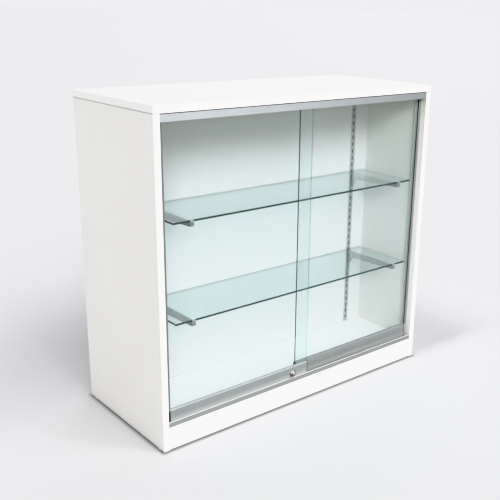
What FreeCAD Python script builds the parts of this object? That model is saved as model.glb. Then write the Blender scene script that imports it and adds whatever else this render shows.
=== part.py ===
import FreeCAD
import Part

import math
import os

# Glass display counter with two sliding glass doors, two glass shelves and a
# storage bay behind. Millimetres, +Z up, +X to the right seen from the front,
# +Y from the front to the back. The origin is the centre of the footprint, on the floor.

# Overall sizes
width = 1080.0
depth = 455.0
height = 1000.0

# Laminated boards and their edge banding
side_thickness = 19.0
top_thickness = 21.0
deck_thickness = 19.0
deck_top = 75.0
plinth_thickness = 19.0
front_plinth_recess = 2.0
rear_plinth_recess = 40.0
back_thickness = 19.0
display_depth = 270.0
band_thickness = 2.0
band_round = 0.8
board_round = 0.9

# Floor glides
glide_height = 3.0
glide_radius = 9.0
glide_inset = 30.0
glide_pin_radius = 1.5
glide_pin_length = 12.0

# Wooden dowels, cam connectors and plinth blocks
dowel_radius = 4.0
dowel_length = 30.0
dowel_bite = 12.0
dowel_inset = 60.0
dowels_per_row = 3
cam_radius = 7.5
cam_height = 12.5
cam_setback = 34.0
cam_slot_width = 2.0
cam_slot_depth = 3.0
cam_slot_length = 9.0
connector_radius = 3.0
connector_bite = 11.0
connector_inset = 100.0
fit_gap = 0.05
block_size = 18.0
block_length = 60.0
block_inset = 120.0
plinth_block_round = 2.0

# Storage bay at the back
storage_shelf_thickness = 19.0
storage_shelf_inset = 4.0
storage_shelf_side_gap = 1.0
lower_storage_height = 375.0
upper_storage_height = 675.0
pin_radius = 2.5
pin_bite = 9.0
pin_reach = 8.0
pin_flange_radius = 4.5
pin_flange_thickness = 1.5
pin_inset = 32.0
pin_hole_pitch = 32.0
pin_holes_each_way = 2

# Door lanes, measured from the front face of the cabinet
front_lane = 13.0
lane_pitch = 18.0
glass_thickness = 5.0
glass_arris = 0.6

# Upper track
track_setback = 1.0
track_rear_margin = 11.0
track_end_gap = 0.5
track_wall = 1.5
upper_track_height = 22.5
upper_slot_roof = 2.5
shadow_gap_height = 2.4
shadow_gap_depth = 2.0
liner_thickness = 1.0
liner_height = 12.0
liner_drop = 1.0
glass_side_play = 0.5

# Lower track
lip_height = 17.0
lip_thickness = 1.8
lip_bead_thickness = 2.8
lip_bead_height = 3.0
lip_bead_round = 1.2
rear_lip_height = 9.0
rail_width = 2.0
rail_height = 3.0
rail_round = 0.8

# Screws in the tracks, jambs and standards
screw_radius = 1.8
screw_head_radius = 3.4
screw_head_height = 2.0
screw_length = 14.0
screw_recess_width = 0.9
screw_recess_length = 4.2
screw_recess_depth = 1.0
screw_inset = 40.0
lower_screw_rail_gap = 5.0
track_screw_count = 4
jamb_screw_count = 3
back_screw_count = 3
back_screw_inset = 75.0
standard_screw_count = 4
standard_screw_length = 17.0
countersink_gap = 0.1

# Jamb channels
jamb_depth = 9.0
jamb_width = 16.0
jamb_wall = 1.3
jamb_end_gap = 2.0
bumper_thickness = 1.6
bumper_width = 8.0

# Doors
jamb_glass_gap = 3.0
door_overlap = 35.0
glass_top_gap = 8.5
shoe_width = 14.0
shoe_wall = 1.6
shoe_bottom_gap = 1.0
shoe_web = 1.5
pocket_depth = 10.5
gasket_wall = 2.0
shoe_round = 0.7
shoe_bead_radius = 1.5
shoe_bead_proud = 0.7
shoe_bead_rise = 12.1
gasket_floor = 2.0
gasket_rise = 3.0
gasket_lip_wall = 1.2
end_cap_thickness = 2.0
end_cap_round = 0.5
shoe_jamb_gap = 8.0

# Door rollers
roller_radius = 7.0
roller_flange_radius = 8.2
roller_width = 6.0
rail_side_play = 0.35
roller_gap = 0.2
roller_bore_gap = 0.1
roller_side_gap = 0.3
axle_radius = 1.5
carrier_length = 34.0
carrier_gap = 0.2
carrier_inset = 42.0
carrier_round = 1.0
carrier_slot_room = 0.9
carrier_roof = 1.9

# Push lock on the front door
lock_edge_distance = 65.5
collar_radius = 11.0
collar_proud = 6.5
collar_floor = 1.2
collar_round = 2.4
barrel_radius = 6.0
barrel_bore_radius = 4.6
barrel_end_wall = 1.6
barrel_end_gap = 0.3
barrel_fit = 0.1
barrel_room = 0.75
plunger_radius = 9.0
plunger_proud = 5.0
plunger_round = 3.2
plunger_gap = 0.25
plunger_travel = 4.5
plunger_rest_gap = 0.3
bolt_radius = 3.0
bolt_gap = 0.2
bolt_tip_clearance = 0.5
bolt_tip_round = 0.6
guide_ring_thickness = 2.0
guide_ring_gap = 0.15
nut_thickness = 5.0
nut_gap = 0.2
spring_wire_radius = 0.3
spring_turns = 4
spring_end_gap = 0.3
key_plug_radius = 5.0
key_plug_length = 4.4
key_plug_gap = 0.1
key_plug_sink = 0.3
keyway_width = 1.6
keyway_height = 6.4
keyway_depth = 3.0
keeper_gap = 1.0
keeper_height = 11.0
keeper_hold = 18.0
keeper_bolt_gap = 1.5
keeper_round = 1.0
keeper_screw_radius = 1.4
keeper_screw_head_radius = 2.5
keeper_screw_head_height = 1.4
keeper_screw_length = 5.6
keeper_screw_spacing = 9.0

# Slotted standards, measured from the inner face of each side to the centre line
left_standard_inset = 117.0
right_standard_inset = 71.0
standard_width = 22.0
standard_depth = 11.0
standard_wall = 1.5
standard_end_gap = 1.5
standard_groove_gap = 0.2
slot_pitch = 25.0
slot_width = 5.0
slot_length = 13.0
first_slot_rise = 20.0
last_slot_margin = 15.0

# Shelf brackets, each in the slot nearest to a share of the standard's slots
upper_bracket_share = 0.65
lower_bracket_share = 0.3
seat_above_slot = 20.0
bracket_lane_gap = 7.5
bracket_width = 14.0
bracket_wall = 1.5
bracket_front_wall = 2.0
bracket_front_height = 12.0
bracket_rear_height = 20.0
bracket_rear_gap = 5.0
bracket_taper_setback = 50.0
bracket_lip_height = 6.0
bracket_lip_width = 9.0
bracket_round = 1.5
hook_plate_thickness = 3.0
hook_plate_length = 32.0
hook_plate_margin = 2.5
hook_plate_gap = 0.1
hook_neck_height = 10.0
hook_reach = 3.0
hook_gap = 0.3
hook_drop = 3.0
hook_count = 2
pad_radius = 4.0
pad_height = 1.0
front_pad_setback = 11.0
rear_pad_inset = 30.0
tip_cap_wall = 0.9
tip_cap_height = 4.0
tip_cap_round = 0.6

# Glass shelves
shelf_thickness = 6.0
shelf_left_gap = 57.0
shelf_right_gap = 13.0
shelf_front_gap = 0.8
shelf_rear_gap = 3.0
shelf_arris = 0.8

# One overrun serves every cut that has to pass a face
overrun = 5.0

# Planes worked out from the sizes above
front_y = -depth / 2
rear_y = depth / 2
left_x = -width / 2
inner_x = width / 2 - side_thickness
top_under = height - top_thickness
rear_lane = front_lane + lane_pitch
lanes = (front_lane, rear_lane)
track_depth = rear_lane + track_rear_margin - track_setback
upper_slot_width = glass_thickness + 2 * (liner_thickness + glass_side_play)
track_top_floor = deck_top + track_wall
rail_top = track_top_floor + rail_height
shoe_bottom = rail_top + shoe_bottom_gap
roller_z = rail_top + roller_gap + roller_radius
roller_groove = rail_width + 2 * rail_side_play
roller_chamber_top = roller_z + roller_flange_radius + carrier_gap + carrier_roof
lock_chamber_bottom = roller_chamber_top + shoe_web
lock_chamber_height = 2 * (barrel_radius + barrel_room)
lock_chamber_top = lock_chamber_bottom + lock_chamber_height
pocket_floor = lock_chamber_top + shoe_web
shoe_top = pocket_floor + pocket_depth
glass_bottom = pocket_floor + gasket_floor
glass_top = top_under - upper_slot_roof - glass_top_gap
pocket_width = glass_thickness + 2 * gasket_wall
gasket_neck = glass_thickness + 2 * gasket_lip_wall
upper_track_bottom = top_under - upper_track_height
lock_z = (lock_chamber_bottom + lock_chamber_top) / 2
lock_x = door_overlap / 2 - lock_edge_distance
first_slot_z = deck_top + first_slot_rise
back_face_y = front_y + display_depth
left_standard_x = -inner_x + left_standard_inset
right_standard_x = inner_x - right_standard_inset
bracket_front_y = front_y + rear_lane + bracket_lane_gap
bracket_rear_y = back_face_y - bracket_rear_gap
glass_half_span = inner_x - jamb_glass_gap


def from_front(distance):
    return front_y + distance


def box(x_low, y_low, z_low, x_high, y_high, z_high):
    corner = FreeCAD.Vector(x_low, y_low, z_low)
    return Part.makeBox(x_high - x_low, y_high - y_low, z_high - z_low, corner)


def rounded_box(x_low, y_low, z_low, x_high, y_high, z_high, radius, axis=None):
    # Rounds every edge, or only the edges along one axis.
    shape = box(x_low, y_low, z_low, x_high, y_high, z_high)
    edges = shape.Edges
    if axis is not None:
        edges = [edge for edge in edges if abs(edge.tangentAt(edge.FirstParameter).dot(axis)) > 0.5]
    return shape.makeFillet(radius, edges)


X_AXIS = FreeCAD.Vector(1, 0, 0)
Y_AXIS = FreeCAD.Vector(0, 1, 0)
Z_AXIS = FreeCAD.Vector(0, 0, 1)


def rod(x, y, z, radius, length, axis):
    return Part.makeCylinder(radius, length, FreeCAD.Vector(x, y, z), axis)


def profile_along_x(points, x_low, x_high):
    # Extrudes an outline of (y, z) points from x_low to x_high.
    corners = [FreeCAD.Vector(x_low, y, z) for y, z in points]
    face = Part.Face(Part.makePolygon(corners + corners[:1]))
    return face.extrude(FreeCAD.Vector(x_high - x_low, 0, 0))


def turned_along_y(outline, x, z):
    # Turns an outline of (radius, y) points round the line through x, z along Y.
    corners = [FreeCAD.Vector(x + radius, y, z) for radius, y in outline]
    face = Part.Face(Part.makePolygon(corners + corners[:1]))
    return face.revolve(FreeCAD.Vector(x, 0, z), Y_AXIS, 360)


def mirrored(shape):
    # The same shape on the other side of the cabinet.
    return shape.mirror(FreeCAD.Vector(0, 0, 0), X_AXIS)


def both_sides(shapes):
    return shapes + [mirrored(shape) for shape in shapes]


def spread(low, high, count):
    step = (high - low) / (count - 1)
    return [low + step * index for index in range(count)]


def cut_all(shape, tools):
    return shape.cut(Part.makeCompound(tools)).removeSplitter()


def save(node, shapes):
    solids = []
    for shape in shapes:
        solids.extend(shape.Solids)
    result = solids[0] if len(solids) == 1 else Part.makeCompound(solids)
    result.exportStep("parts/" + node + ".step")


# Countersunk screws


def screw(x, y, z, direction, radius, head_radius, head_height, length):
    # The head's flat face is at the point given, and the screw runs along direction.
    head = Part.makeCone(head_radius, radius, head_height, FreeCAD.Vector(x, y, z), direction)
    body = Part.makeCylinder(radius, length, FreeCAD.Vector(x, y, z), direction)
    return head.fuse(body).removeSplitter()


def screw_with_cross(x, y, z, direction, length=screw_length):
    shape = screw(x, y, z, direction, screw_radius, screw_head_radius, screw_head_height, length)
    half_long = screw_recess_length / 2
    half_wide = screw_recess_width / 2
    low = FreeCAD.Vector(-half_long, -half_wide, 0)
    bar = Part.makeBox(screw_recess_length, screw_recess_width, screw_recess_depth, low)
    cross = bar.copy()
    cross.rotate(FreeCAD.Vector(0, 0, 0), Z_AXIS, 90)
    cross = cross.fuse(bar)
    cross.Placement = FreeCAD.Placement(
        FreeCAD.Vector(x, y, z), FreeCAD.Rotation(Z_AXIS, direction)
    ).multiply(cross.Placement)
    return shape.cut(cross)


def screw_room(x, y, z, direction, length=screw_length):
    # The hole that takes such a screw, with a countersink.
    return screw(
        x,
        y,
        z,
        direction,
        screw_radius + countersink_gap,
        screw_head_radius + countersink_gap,
        screw_head_height + countersink_gap,
        length + countersink_gap,
    )


def upper_screw_places():
    xs = spread(-inner_x + screw_inset, inner_x - screw_inset, track_screw_count)
    return [(x, from_front(lane), top_under - upper_slot_roof, Z_AXIS) for x in xs for lane in lanes]


def lower_screw_places():
    xs = spread(-inner_x + screw_inset, inner_x - screw_inset, track_screw_count)
    y = from_front(rear_lane - lower_screw_rail_gap)
    return [(x, y, track_top_floor, -Z_AXIS) for x in xs]


def jamb_screw_places(lane, side):
    # side is -1 for the left jamb and 1 for the right one.
    low = shoe_top + gasket_rise + jamb_end_gap + screw_inset
    heights = spread(low, upper_track_bottom - screw_inset, jamb_screw_count)
    x = side * (inner_x - jamb_wall)
    return [(x, from_front(lane), z, X_AXIS * side) for z in heights]


def standard_screw_places(x):
    # Halfway between two slots, so the heads don't meet the slots.
    last = slot_count() - 2
    indexes = [round(value) for value in spread(0, last, standard_screw_count)]
    heights = [first_slot_z + slot_pitch * (index + 0.5) for index in indexes]
    return [(x, back_face_y, z, Y_AXIS, standard_screw_length) for z in heights]


# Cabinet boards


def dowel_places():
    # Vertical dowels between the sides and the top, then dowels between the sides and the deck.
    places = []
    ys = spread(front_y + dowel_inset, rear_y - dowel_inset, dowels_per_row)
    for y in ys:
        places.append((inner_x + side_thickness / 2, y, top_under + dowel_bite, -Z_AXIS))
    for y in ys:
        places.append((inner_x + dowel_bite, y, deck_top - deck_thickness / 2, -X_AXIS))
    return places


def dowels(extra):
    return [rod(x, y, z, dowel_radius + extra, dowel_length + extra, axis) for x, y, z, axis in dowel_places()]


def connector_ys():
    return (front_y + connector_inset, rear_y - connector_inset)


def connector_rods(extra):
    # Steel pins that run from the sides into the cams under the deck.
    z = deck_top - deck_thickness / 2
    length = connector_bite + cam_setback - cam_radius
    start = inner_x + connector_bite
    return [rod(start, y, z, connector_radius + extra, length + extra, -X_AXIS) for y in connector_ys()]


def cams(extra):
    x = inner_x - cam_setback
    z = deck_top - deck_thickness
    return [rod(x, y, z, cam_radius + extra, cam_height + extra, Z_AXIS) for y in connector_ys()]


def make_cams():
    x = inner_x - cam_setback
    z = deck_top - deck_thickness
    shapes = []
    for y, cam in zip(connector_ys(), cams(0)):
        slot = box(
            x - cam_slot_length / 2,
            y - cam_slot_width / 2,
            z - overrun,
            x + cam_slot_length / 2,
            y + cam_slot_width / 2,
            z + cam_slot_depth,
        )
        shapes.append(cam.cut(slot))
    return both_sides(shapes)


def shelf_pin_ys():
    low = back_face_y + back_thickness + pin_inset
    return (low, rear_y - pin_inset)


def pin_centre(shelf_height):
    return shelf_height - storage_shelf_thickness - pin_radius


def pin_hole_rods():
    # Each shelf has spare holes above and below the pins it rests on.
    shapes = []
    for shelf_height in (lower_storage_height, upper_storage_height):
        for step in range(-pin_holes_each_way, pin_holes_each_way + 1):
            z = pin_centre(shelf_height) + step * pin_hole_pitch
            for y in shelf_pin_ys():
                shapes.append(rod(inner_x - overrun, y, z, pin_radius + fit_gap, pin_bite + overrun, X_AXIS))
    return shapes


def glide_places():
    x = inner_x + side_thickness / 2
    return [(x, front_y + glide_inset), (x, rear_y - glide_inset)]


def glide_pins(extra):
    return [
        rod(x, y, glide_height, glide_pin_radius + extra, glide_pin_length + extra, Z_AXIS)
        for x, y in glide_places()
    ]


def make_right_side():
    panel = rounded_box(
        inner_x,
        front_y + band_thickness,
        glide_height,
        inner_x + side_thickness,
        rear_y - band_thickness,
        top_under,
        board_round,
        Y_AXIS,
    )
    tools = dowels(fit_gap) + connector_rods(fit_gap) + pin_hole_rods() + glide_pins(fit_gap)
    return cut_all(panel, tools)


def side_bands():
    # A thin strip covers the front and the rear edge of each side.
    front = rounded_box(
        inner_x,
        front_y,
        glide_height,
        inner_x + side_thickness,
        front_y + band_thickness,
        top_under,
        board_round,
        Z_AXIS,
    )
    rear = front.mirror(FreeCAD.Vector(0, 0, 0), Y_AXIS)
    return both_sides([front, rear])


def make_top():
    inset = band_thickness
    panel = box(left_x + inset, front_y + inset, top_under, -left_x - inset, rear_y - inset, height)
    tools = both_sides(dowels(fit_gap))
    tools += [screw_room(*place) for place in upper_screw_places()]
    return cut_all(panel, tools)


def top_bands():
    # The long strips cover the front and rear edges, the short ones fit between them.
    front = rounded_box(
        left_x, front_y, top_under, -left_x, front_y + band_thickness, height, board_round, X_AXIS
    )
    rear = front.mirror(FreeCAD.Vector(0, 0, 0), Y_AXIS)
    left = rounded_box(
        left_x,
        front_y + band_thickness,
        top_under,
        left_x + band_thickness,
        rear_y - band_thickness,
        height,
        board_round,
        Y_AXIS,
    )
    return [front, rear, left, mirrored(left)]


def make_deck():
    low_y = from_front(front_plinth_recess + plinth_thickness)
    panel = box(-inner_x, low_y, deck_top - deck_thickness, inner_x, rear_y, deck_top)
    tools = both_sides(dowels(fit_gap) + connector_rods(fit_gap) + cams(fit_gap))
    tools += [screw_room(*place) for place in lower_screw_places()]
    tools += [screw_room(*place, deck_thickness + overrun) for place in back_screw_places()]
    return cut_all(panel, tools)


def make_front_plinth():
    low_y = from_front(front_plinth_recess)
    return rounded_box(
        -inner_x,
        low_y,
        glide_height,
        inner_x,
        low_y + plinth_thickness,
        deck_top,
        board_round,
        X_AXIS,
    )


def make_rear_plinth():
    high_y = rear_y - rear_plinth_recess
    return box(
        -inner_x, high_y - plinth_thickness, glide_height, inner_x, high_y, deck_top - deck_thickness
    )


def plinth_blocks():
    # Glued blocks under the deck hold the two plinths square.
    top = deck_top - deck_thickness
    front_face = from_front(front_plinth_recess + plinth_thickness)
    rear_face = rear_y - rear_plinth_recess - plinth_thickness
    x = inner_x - block_inset
    shapes = []
    for low_y in (front_face, rear_face - block_size):
        shapes.append(
            rounded_box(
                x - block_length,
                low_y,
                top - block_size,
                x,
                low_y + block_size,
                top,
                plinth_block_round,
                Y_AXIS,
            )
        )
    return both_sides(shapes)


def back_screw_places():
    # Screws that come up through the deck into the back panel.
    xs = spread(-inner_x + back_screw_inset, inner_x - back_screw_inset, back_screw_count)
    y = back_face_y + back_thickness / 2
    return [(x, y, deck_top - deck_thickness, Z_AXIS) for x in xs]


def back_screws():
    # These are longer than the deck is thick, so that they hold the back panel.
    length = deck_thickness + screw_length
    return [
        screw(x, y, z, axis, screw_radius, screw_head_radius, screw_head_height, length)
        for x, y, z, axis in back_screw_places()
    ]


def make_back_panel():
    panel = box(-inner_x, back_face_y, deck_top, inner_x, back_face_y + back_thickness, top_under)
    tools = []
    half = standard_width / 2 + standard_groove_gap
    for x in (left_standard_x, right_standard_x):
        tools.append(
            box(
                x - half,
                back_face_y - overrun,
                deck_top - overrun,
                x + half,
                back_face_y + standard_depth + standard_groove_gap,
                top_under + overrun,
            )
        )
        tools += [screw_room(*place) for place in standard_screw_places(x)]
    pilot = screw_radius + countersink_gap
    length = screw_length + countersink_gap + overrun
    for x, y, z, axis in back_screw_places():
        tools.append(rod(x, y, deck_top - overrun, pilot, length, axis))
    return cut_all(panel, tools)


def make_storage_shelf(shelf_height):
    half = inner_x - storage_shelf_side_gap
    return rounded_box(
        -half,
        back_face_y + back_thickness + storage_shelf_side_gap,
        shelf_height - storage_shelf_thickness,
        half,
        rear_y - storage_shelf_inset,
        shelf_height,
        band_round,
        X_AXIS,
    )


def shelf_pins():
    shapes = []
    for shelf_height in (lower_storage_height, upper_storage_height):
        z = pin_centre(shelf_height)
        for y in shelf_pin_ys():
            length = pin_bite + pin_reach
            pin = rod(inner_x - pin_reach, y, z, pin_radius, length - fit_gap, X_AXIS)
            flange = rod(
                inner_x - pin_flange_thickness, y, z, pin_flange_radius, pin_flange_thickness, X_AXIS
            )
            crown = box(
                inner_x - pin_flange_thickness - overrun,
                y - pin_flange_radius,
                z + pin_radius,
                inner_x,
                y + pin_flange_radius,
                z + pin_flange_radius,
            )
            shapes.append(pin.fuse(flange).cut(crown).removeSplitter())
    return both_sides(shapes)


def glides():
    shapes = []
    for (x, y), pin in zip(glide_places(), glide_pins(0)):
        foot = rod(x, y, 0, glide_radius, glide_height, Z_AXIS)
        shapes.append(foot.fuse(pin).removeSplitter())
    return both_sides(shapes)


# Tracks and jambs


def make_upper_track():
    low_y = from_front(track_setback)
    high_y = low_y + track_depth
    x = inner_x - track_end_gap
    shape = box(-x, low_y, upper_track_bottom, x, high_y, top_under)
    half_slot = upper_slot_width / 2
    slots = [(from_front(lane) - half_slot, from_front(lane) + half_slot) for lane in lanes]
    slot_top = top_under - upper_slot_roof
    tools = []
    for low, high in slots:
        tools.append(box(-x - overrun, low, upper_track_bottom - overrun, x + overrun, high, slot_top))
    walls = [low_y, slots[0][0], slots[0][1], slots[1][0], slots[1][1], high_y]
    for low, high in (walls[0:2], walls[2:4], walls[4:6]):
        tools.append(
            box(
                -x - overrun,
                low + track_wall,
                upper_track_bottom + track_wall,
                x + overrun,
                high - track_wall,
                slot_top - track_wall,
            )
        )
    tools.append(
        box(
            -x - overrun,
            low_y - overrun,
            top_under - shadow_gap_height,
            x + overrun,
            low_y + shadow_gap_depth,
            top_under + overrun,
        )
    )
    tools += [screw_room(*place) for place in upper_screw_places()]
    return cut_all(shape, tools)


def track_liners():
    # Soft strips on both walls of each slot keep the glass from rattling.
    x = inner_x - track_end_gap
    z_low = upper_track_bottom + liner_drop
    shapes = []
    for lane in lanes:
        y = from_front(lane)
        inner = upper_slot_width / 2 - liner_thickness
        outer = upper_slot_width / 2
        shapes.append(box(-x, y - outer, z_low, x, y - inner, z_low + liner_height))
        shapes.append(box(-x, y + inner, z_low, x, y + outer, z_low + liner_height))
    return shapes


def make_lower_track():
    low_y = from_front(track_setback)
    high_y = low_y + track_depth
    x = inner_x - track_end_gap
    shape = box(-x, low_y, deck_top, x, high_y, track_top_floor)
    lip = box(-x, low_y, deck_top, x, low_y + lip_thickness, deck_top + lip_height - lip_bead_height / 2)
    bead = rounded_box(
        -x,
        low_y,
        deck_top + lip_height - lip_bead_height,
        x,
        low_y + lip_bead_thickness,
        deck_top + lip_height,
        lip_bead_round,
        X_AXIS,
    )
    rear_lip = box(-x, high_y - track_wall, deck_top, x, high_y, deck_top + rear_lip_height)
    pieces = [lip, bead, rear_lip]
    half_rail = rail_width / 2
    for lane in lanes:
        y = from_front(lane)
        rail = rounded_box(-x, y - half_rail, deck_top, x, y + half_rail, rail_top, rail_round, X_AXIS)
        pieces.append(rail)
    shape = shape.multiFuse(pieces).removeSplitter()
    return cut_all(shape, [screw_room(*place) for place in lower_screw_places()])


def make_jamb(lane, side):
    # A channel open towards the doors. side is -1 for the left jamb and 1 for the right one.
    y = from_front(lane)
    half = jamb_width / 2
    z_low = shoe_top + gasket_rise + jamb_end_gap
    outer = box(inner_x - jamb_depth, y - half, z_low, inner_x, y + half, upper_track_bottom)
    hollow = box(
        inner_x - jamb_depth - overrun,
        y - half + jamb_wall,
        z_low - overrun,
        inner_x - jamb_wall,
        y + half - jamb_wall,
        upper_track_bottom + overrun,
    )
    shape = outer.cut(hollow)
    shape = shape if side > 0 else mirrored(shape)
    return cut_all(shape, [screw_room(*place) for place in jamb_screw_places(lane, side)])


def jamb_bumper(lane, side):
    y = from_front(lane)
    half = bumper_width / 2
    z_low = shoe_top + gasket_rise + jamb_end_gap
    shape = box(
        inner_x - jamb_wall - bumper_thickness,
        y - half,
        z_low,
        inner_x - jamb_wall,
        y + half,
        upper_track_bottom,
    )
    return shape if side > 0 else mirrored(shape)


# Slotted standards, brackets and glass shelves


def slot_count():
    room = top_under - standard_end_gap - last_slot_margin - first_slot_z
    return int(room // slot_pitch) + 1


def slot_height(index):
    return first_slot_z + slot_pitch * index


def make_standard(x):
    half = standard_width / 2
    z_low = deck_top + standard_end_gap
    z_high = top_under - standard_end_gap
    outer = box(x - half, back_face_y, z_low, x + half, back_face_y + standard_depth, z_high)
    hollow = box(
        x - half + standard_wall,
        back_face_y + standard_wall,
        z_low - overrun,
        x + half - standard_wall,
        back_face_y + standard_depth + overrun,
        z_high + overrun,
    )
    tools = [hollow]
    for index in range(slot_count()):
        z = slot_height(index)
        tools.append(
            box(
                x - slot_width / 2,
                back_face_y - overrun,
                z - slot_length / 2,
                x + slot_width / 2,
                back_face_y + standard_wall + overrun,
                z + slot_length / 2,
            )
        )
    tools += [screw_room(*place) for place in standard_screw_places(x)]
    return cut_all(outer, tools)


def seat_height(slot_index):
    return slot_height(slot_index) + seat_above_slot


def make_bracket(x, slot_index):
    seat = seat_height(slot_index)
    half = bracket_width / 2
    front = bracket_front_y
    rear = bracket_rear_y
    taper_end = rear - bracket_taper_setback
    outline = [
        (front, seat - bracket_front_height),
        (taper_end, seat - bracket_rear_height),
        (rear, seat - bracket_rear_height),
        (rear, seat),
        (front, seat),
    ]
    body = profile_along_x(outline, x - half, x + half)
    long_edges = [edge for edge in body.Edges if is_upper_long_edge(edge, seat)]
    body = body.makeFillet(bracket_round, long_edges)
    hollow = box(
        x - half + bracket_wall,
        front + bracket_front_wall,
        seat - bracket_rear_height - overrun,
        x + half - bracket_wall,
        rear + overrun,
        seat - bracket_wall,
    )
    body = body.cut(hollow)
    lip_half = bracket_lip_width / 2
    lip = box(
        x - lip_half,
        front,
        seat - bracket_wall,
        x + lip_half,
        front + bracket_front_wall,
        seat + pad_height + bracket_lip_height,
    )
    return body.multiFuse([lip] + hook_plate(x, slot_index)).removeSplitter()


def is_upper_long_edge(edge, seat):
    ends = [vertex.Point for vertex in edge.Vertexes]
    along_y = abs(ends[0].y - ends[1].y) > bracket_width
    level = abs(ends[0].z - seat) < fit_gap and abs(ends[1].z - seat) < fit_gap
    return along_y and level


def hook_plate(x, slot_index):
    seat = seat_height(slot_index)
    half = hook_plate_thickness / 2
    plate_rear = back_face_y - hook_plate_gap
    plate_front = plate_rear - hook_plate_length
    lowest_slot = slot_height(slot_index - hook_count + 1)
    low = lowest_slot - slot_length / 2 - hook_plate_margin
    outline = [
        (plate_front, seat - bracket_wall / 2),
        (plate_front, seat - bracket_rear_height),
        (plate_rear - bracket_rear_gap, low),
        (plate_rear, low),
        (plate_rear, seat - bracket_wall / 2),
    ]
    shapes = [profile_along_x(outline, x - half, x + half)]
    behind = back_face_y + standard_wall + hook_gap
    for step in range(hook_count):
        bottom = slot_height(slot_index - step) - slot_length / 2
        neck = box(
            x - half, plate_rear - hook_reach, bottom, x + half, behind + hook_reach, bottom + hook_neck_height
        )
        tooth = box(
            x - half, behind, bottom - hook_drop, x + half, behind + hook_reach, bottom + hook_neck_height
        )
        shapes += [neck, tooth]
    return shapes


def bracket_slot(share):
    return round(share * (slot_count() - 1))


def bracket_places():
    places = []
    for slot_index in (bracket_slot(upper_bracket_share), bracket_slot(lower_bracket_share)):
        for x in (left_standard_x, right_standard_x):
            places.append((x, slot_index))
    return places


def bracket_pads():
    shapes = []
    for x, slot_index in bracket_places():
        for y in (bracket_front_y + front_pad_setback, bracket_rear_y - rear_pad_inset):
            shapes.append(rod(x, y, seat_height(slot_index), pad_radius, pad_height, Z_AXIS))
    return shapes


def tip_caps():
    # A soft cap over the top of each bracket's lip, clear of the glass behind it.
    shapes = []
    front = bracket_front_y
    for x, slot_index in bracket_places():
        top = seat_height(slot_index) + pad_height + bracket_lip_height
        half = bracket_lip_width / 2
        cap = rounded_box(
            x - half - tip_cap_wall,
            front - tip_cap_wall,
            top - tip_cap_height,
            x + half + tip_cap_wall,
            front + bracket_front_wall + shelf_front_gap / 2,
            top + tip_cap_wall,
            tip_cap_round,
            Z_AXIS,
        )
        lip = box(
            x - half, front, top - tip_cap_height - overrun, x + half, front + bracket_front_wall, top
        )
        shapes.append(cap.cut(lip))
    return shapes


def make_glass_shelf(slot_index):
    x_low = -inner_x + shelf_left_gap
    x_high = inner_x - shelf_right_gap
    front = bracket_front_y + bracket_front_wall + shelf_front_gap
    low_z = seat_height(slot_index) + pad_height
    pane = box(x_low, front, low_z, x_high, back_face_y - shelf_rear_gap, low_z + shelf_thickness)
    return pane.makeChamfer(shelf_arris, pane.Edges)


# Sliding doors, built for the front lane on the left and copied to the rear lane on the right


def door_span():
    # The front door's glass, from its edge in the left jamb to its edge past the centre.
    return -glass_half_span, door_overlap / 2


def shoe_span():
    low, high = door_span()
    return -inner_x + shoe_jamb_gap + end_cap_thickness, high - end_cap_thickness


def place_door(shape, rear):
    # The rear door is the front door turned end for end and moved back by one lane.
    if not rear:
        return shape
    turned = mirrored(shape)
    turned.translate(FreeCAD.Vector(0, lane_pitch, 0))
    return turned


def make_door_glass():
    low, high = door_span()
    y = from_front(front_lane)
    half = glass_thickness / 2
    pane = box(low, y - half, glass_bottom, high, y + half, glass_top)
    return pane.makeChamfer(glass_arris, pane.Edges)


def shoe_outline_box(x_low, x_high, inset):
    y = from_front(front_lane)
    half = shoe_width / 2 - inset
    return box(x_low, y - half, shoe_bottom, x_high, y + half, shoe_top)


def make_shoe(with_lock):
    x_low, x_high = shoe_span()
    y = from_front(front_lane)
    body = shoe_outline_box(x_low, x_high, 0)
    top_edges = [edge for edge in body.Edges if is_long_edge_at(edge, shoe_top)]
    body = body.makeFillet(shoe_round, top_edges)
    # A raised line runs along the front face, just above the track's lip.
    bead_y = y - shoe_width / 2 + shoe_bead_radius - shoe_bead_proud
    bead_z = shoe_bottom + shoe_bead_rise
    body = body.fuse(rod(x_low, bead_y, bead_z, shoe_bead_radius, x_high - x_low, X_AXIS))
    inner = shoe_width / 2 - shoe_wall
    past_low = x_low - overrun
    past_high = x_high + overrun
    tools = [
        box(past_low, y - inner, shoe_bottom - overrun, past_high, y + inner, roller_chamber_top),
        box(past_low, y - inner, lock_chamber_bottom, past_high, y + inner, lock_chamber_top),
        box(past_low, y - pocket_width / 2, pocket_floor, past_high, y + pocket_width / 2, shoe_top + overrun),
    ]
    if with_lock:
        face = y - shoe_width / 2
        reach = shoe_width / 2 + overrun
        tools.append(rod(lock_x, face - overrun, lock_z, barrel_radius + barrel_fit, reach, Y_AXIS))
        tools.append(rod(lock_x, y, lock_z, bolt_radius + bolt_gap, reach, Y_AXIS))
    else:
        tools += keeper_screw_tools()
    return cut_all(body, tools)


def is_long_edge_at(edge, z):
    ends = [vertex.Point for vertex in edge.Vertexes]
    long_enough = abs(ends[0].x - ends[1].x) > shoe_width
    return long_enough and abs(ends[0].z - z) < fit_gap and abs(ends[1].z - z) < fit_gap


def make_gasket():
    x_low, x_high = shoe_span()
    y = from_front(front_lane)
    wide = pocket_width / 2
    neck = gasket_neck / 2
    thin = glass_thickness / 2
    rise = shoe_top + gasket_rise
    outline = [
        (y - wide, pocket_floor),
        (y + wide, pocket_floor),
        (y + wide, shoe_top),
        (y + neck, rise),
        (y + thin, rise),
        (y + thin, glass_bottom),
        (y - thin, glass_bottom),
        (y - thin, rise),
        (y - neck, rise),
        (y - wide, shoe_top),
    ]
    return profile_along_x(outline, x_low, x_high)


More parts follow.
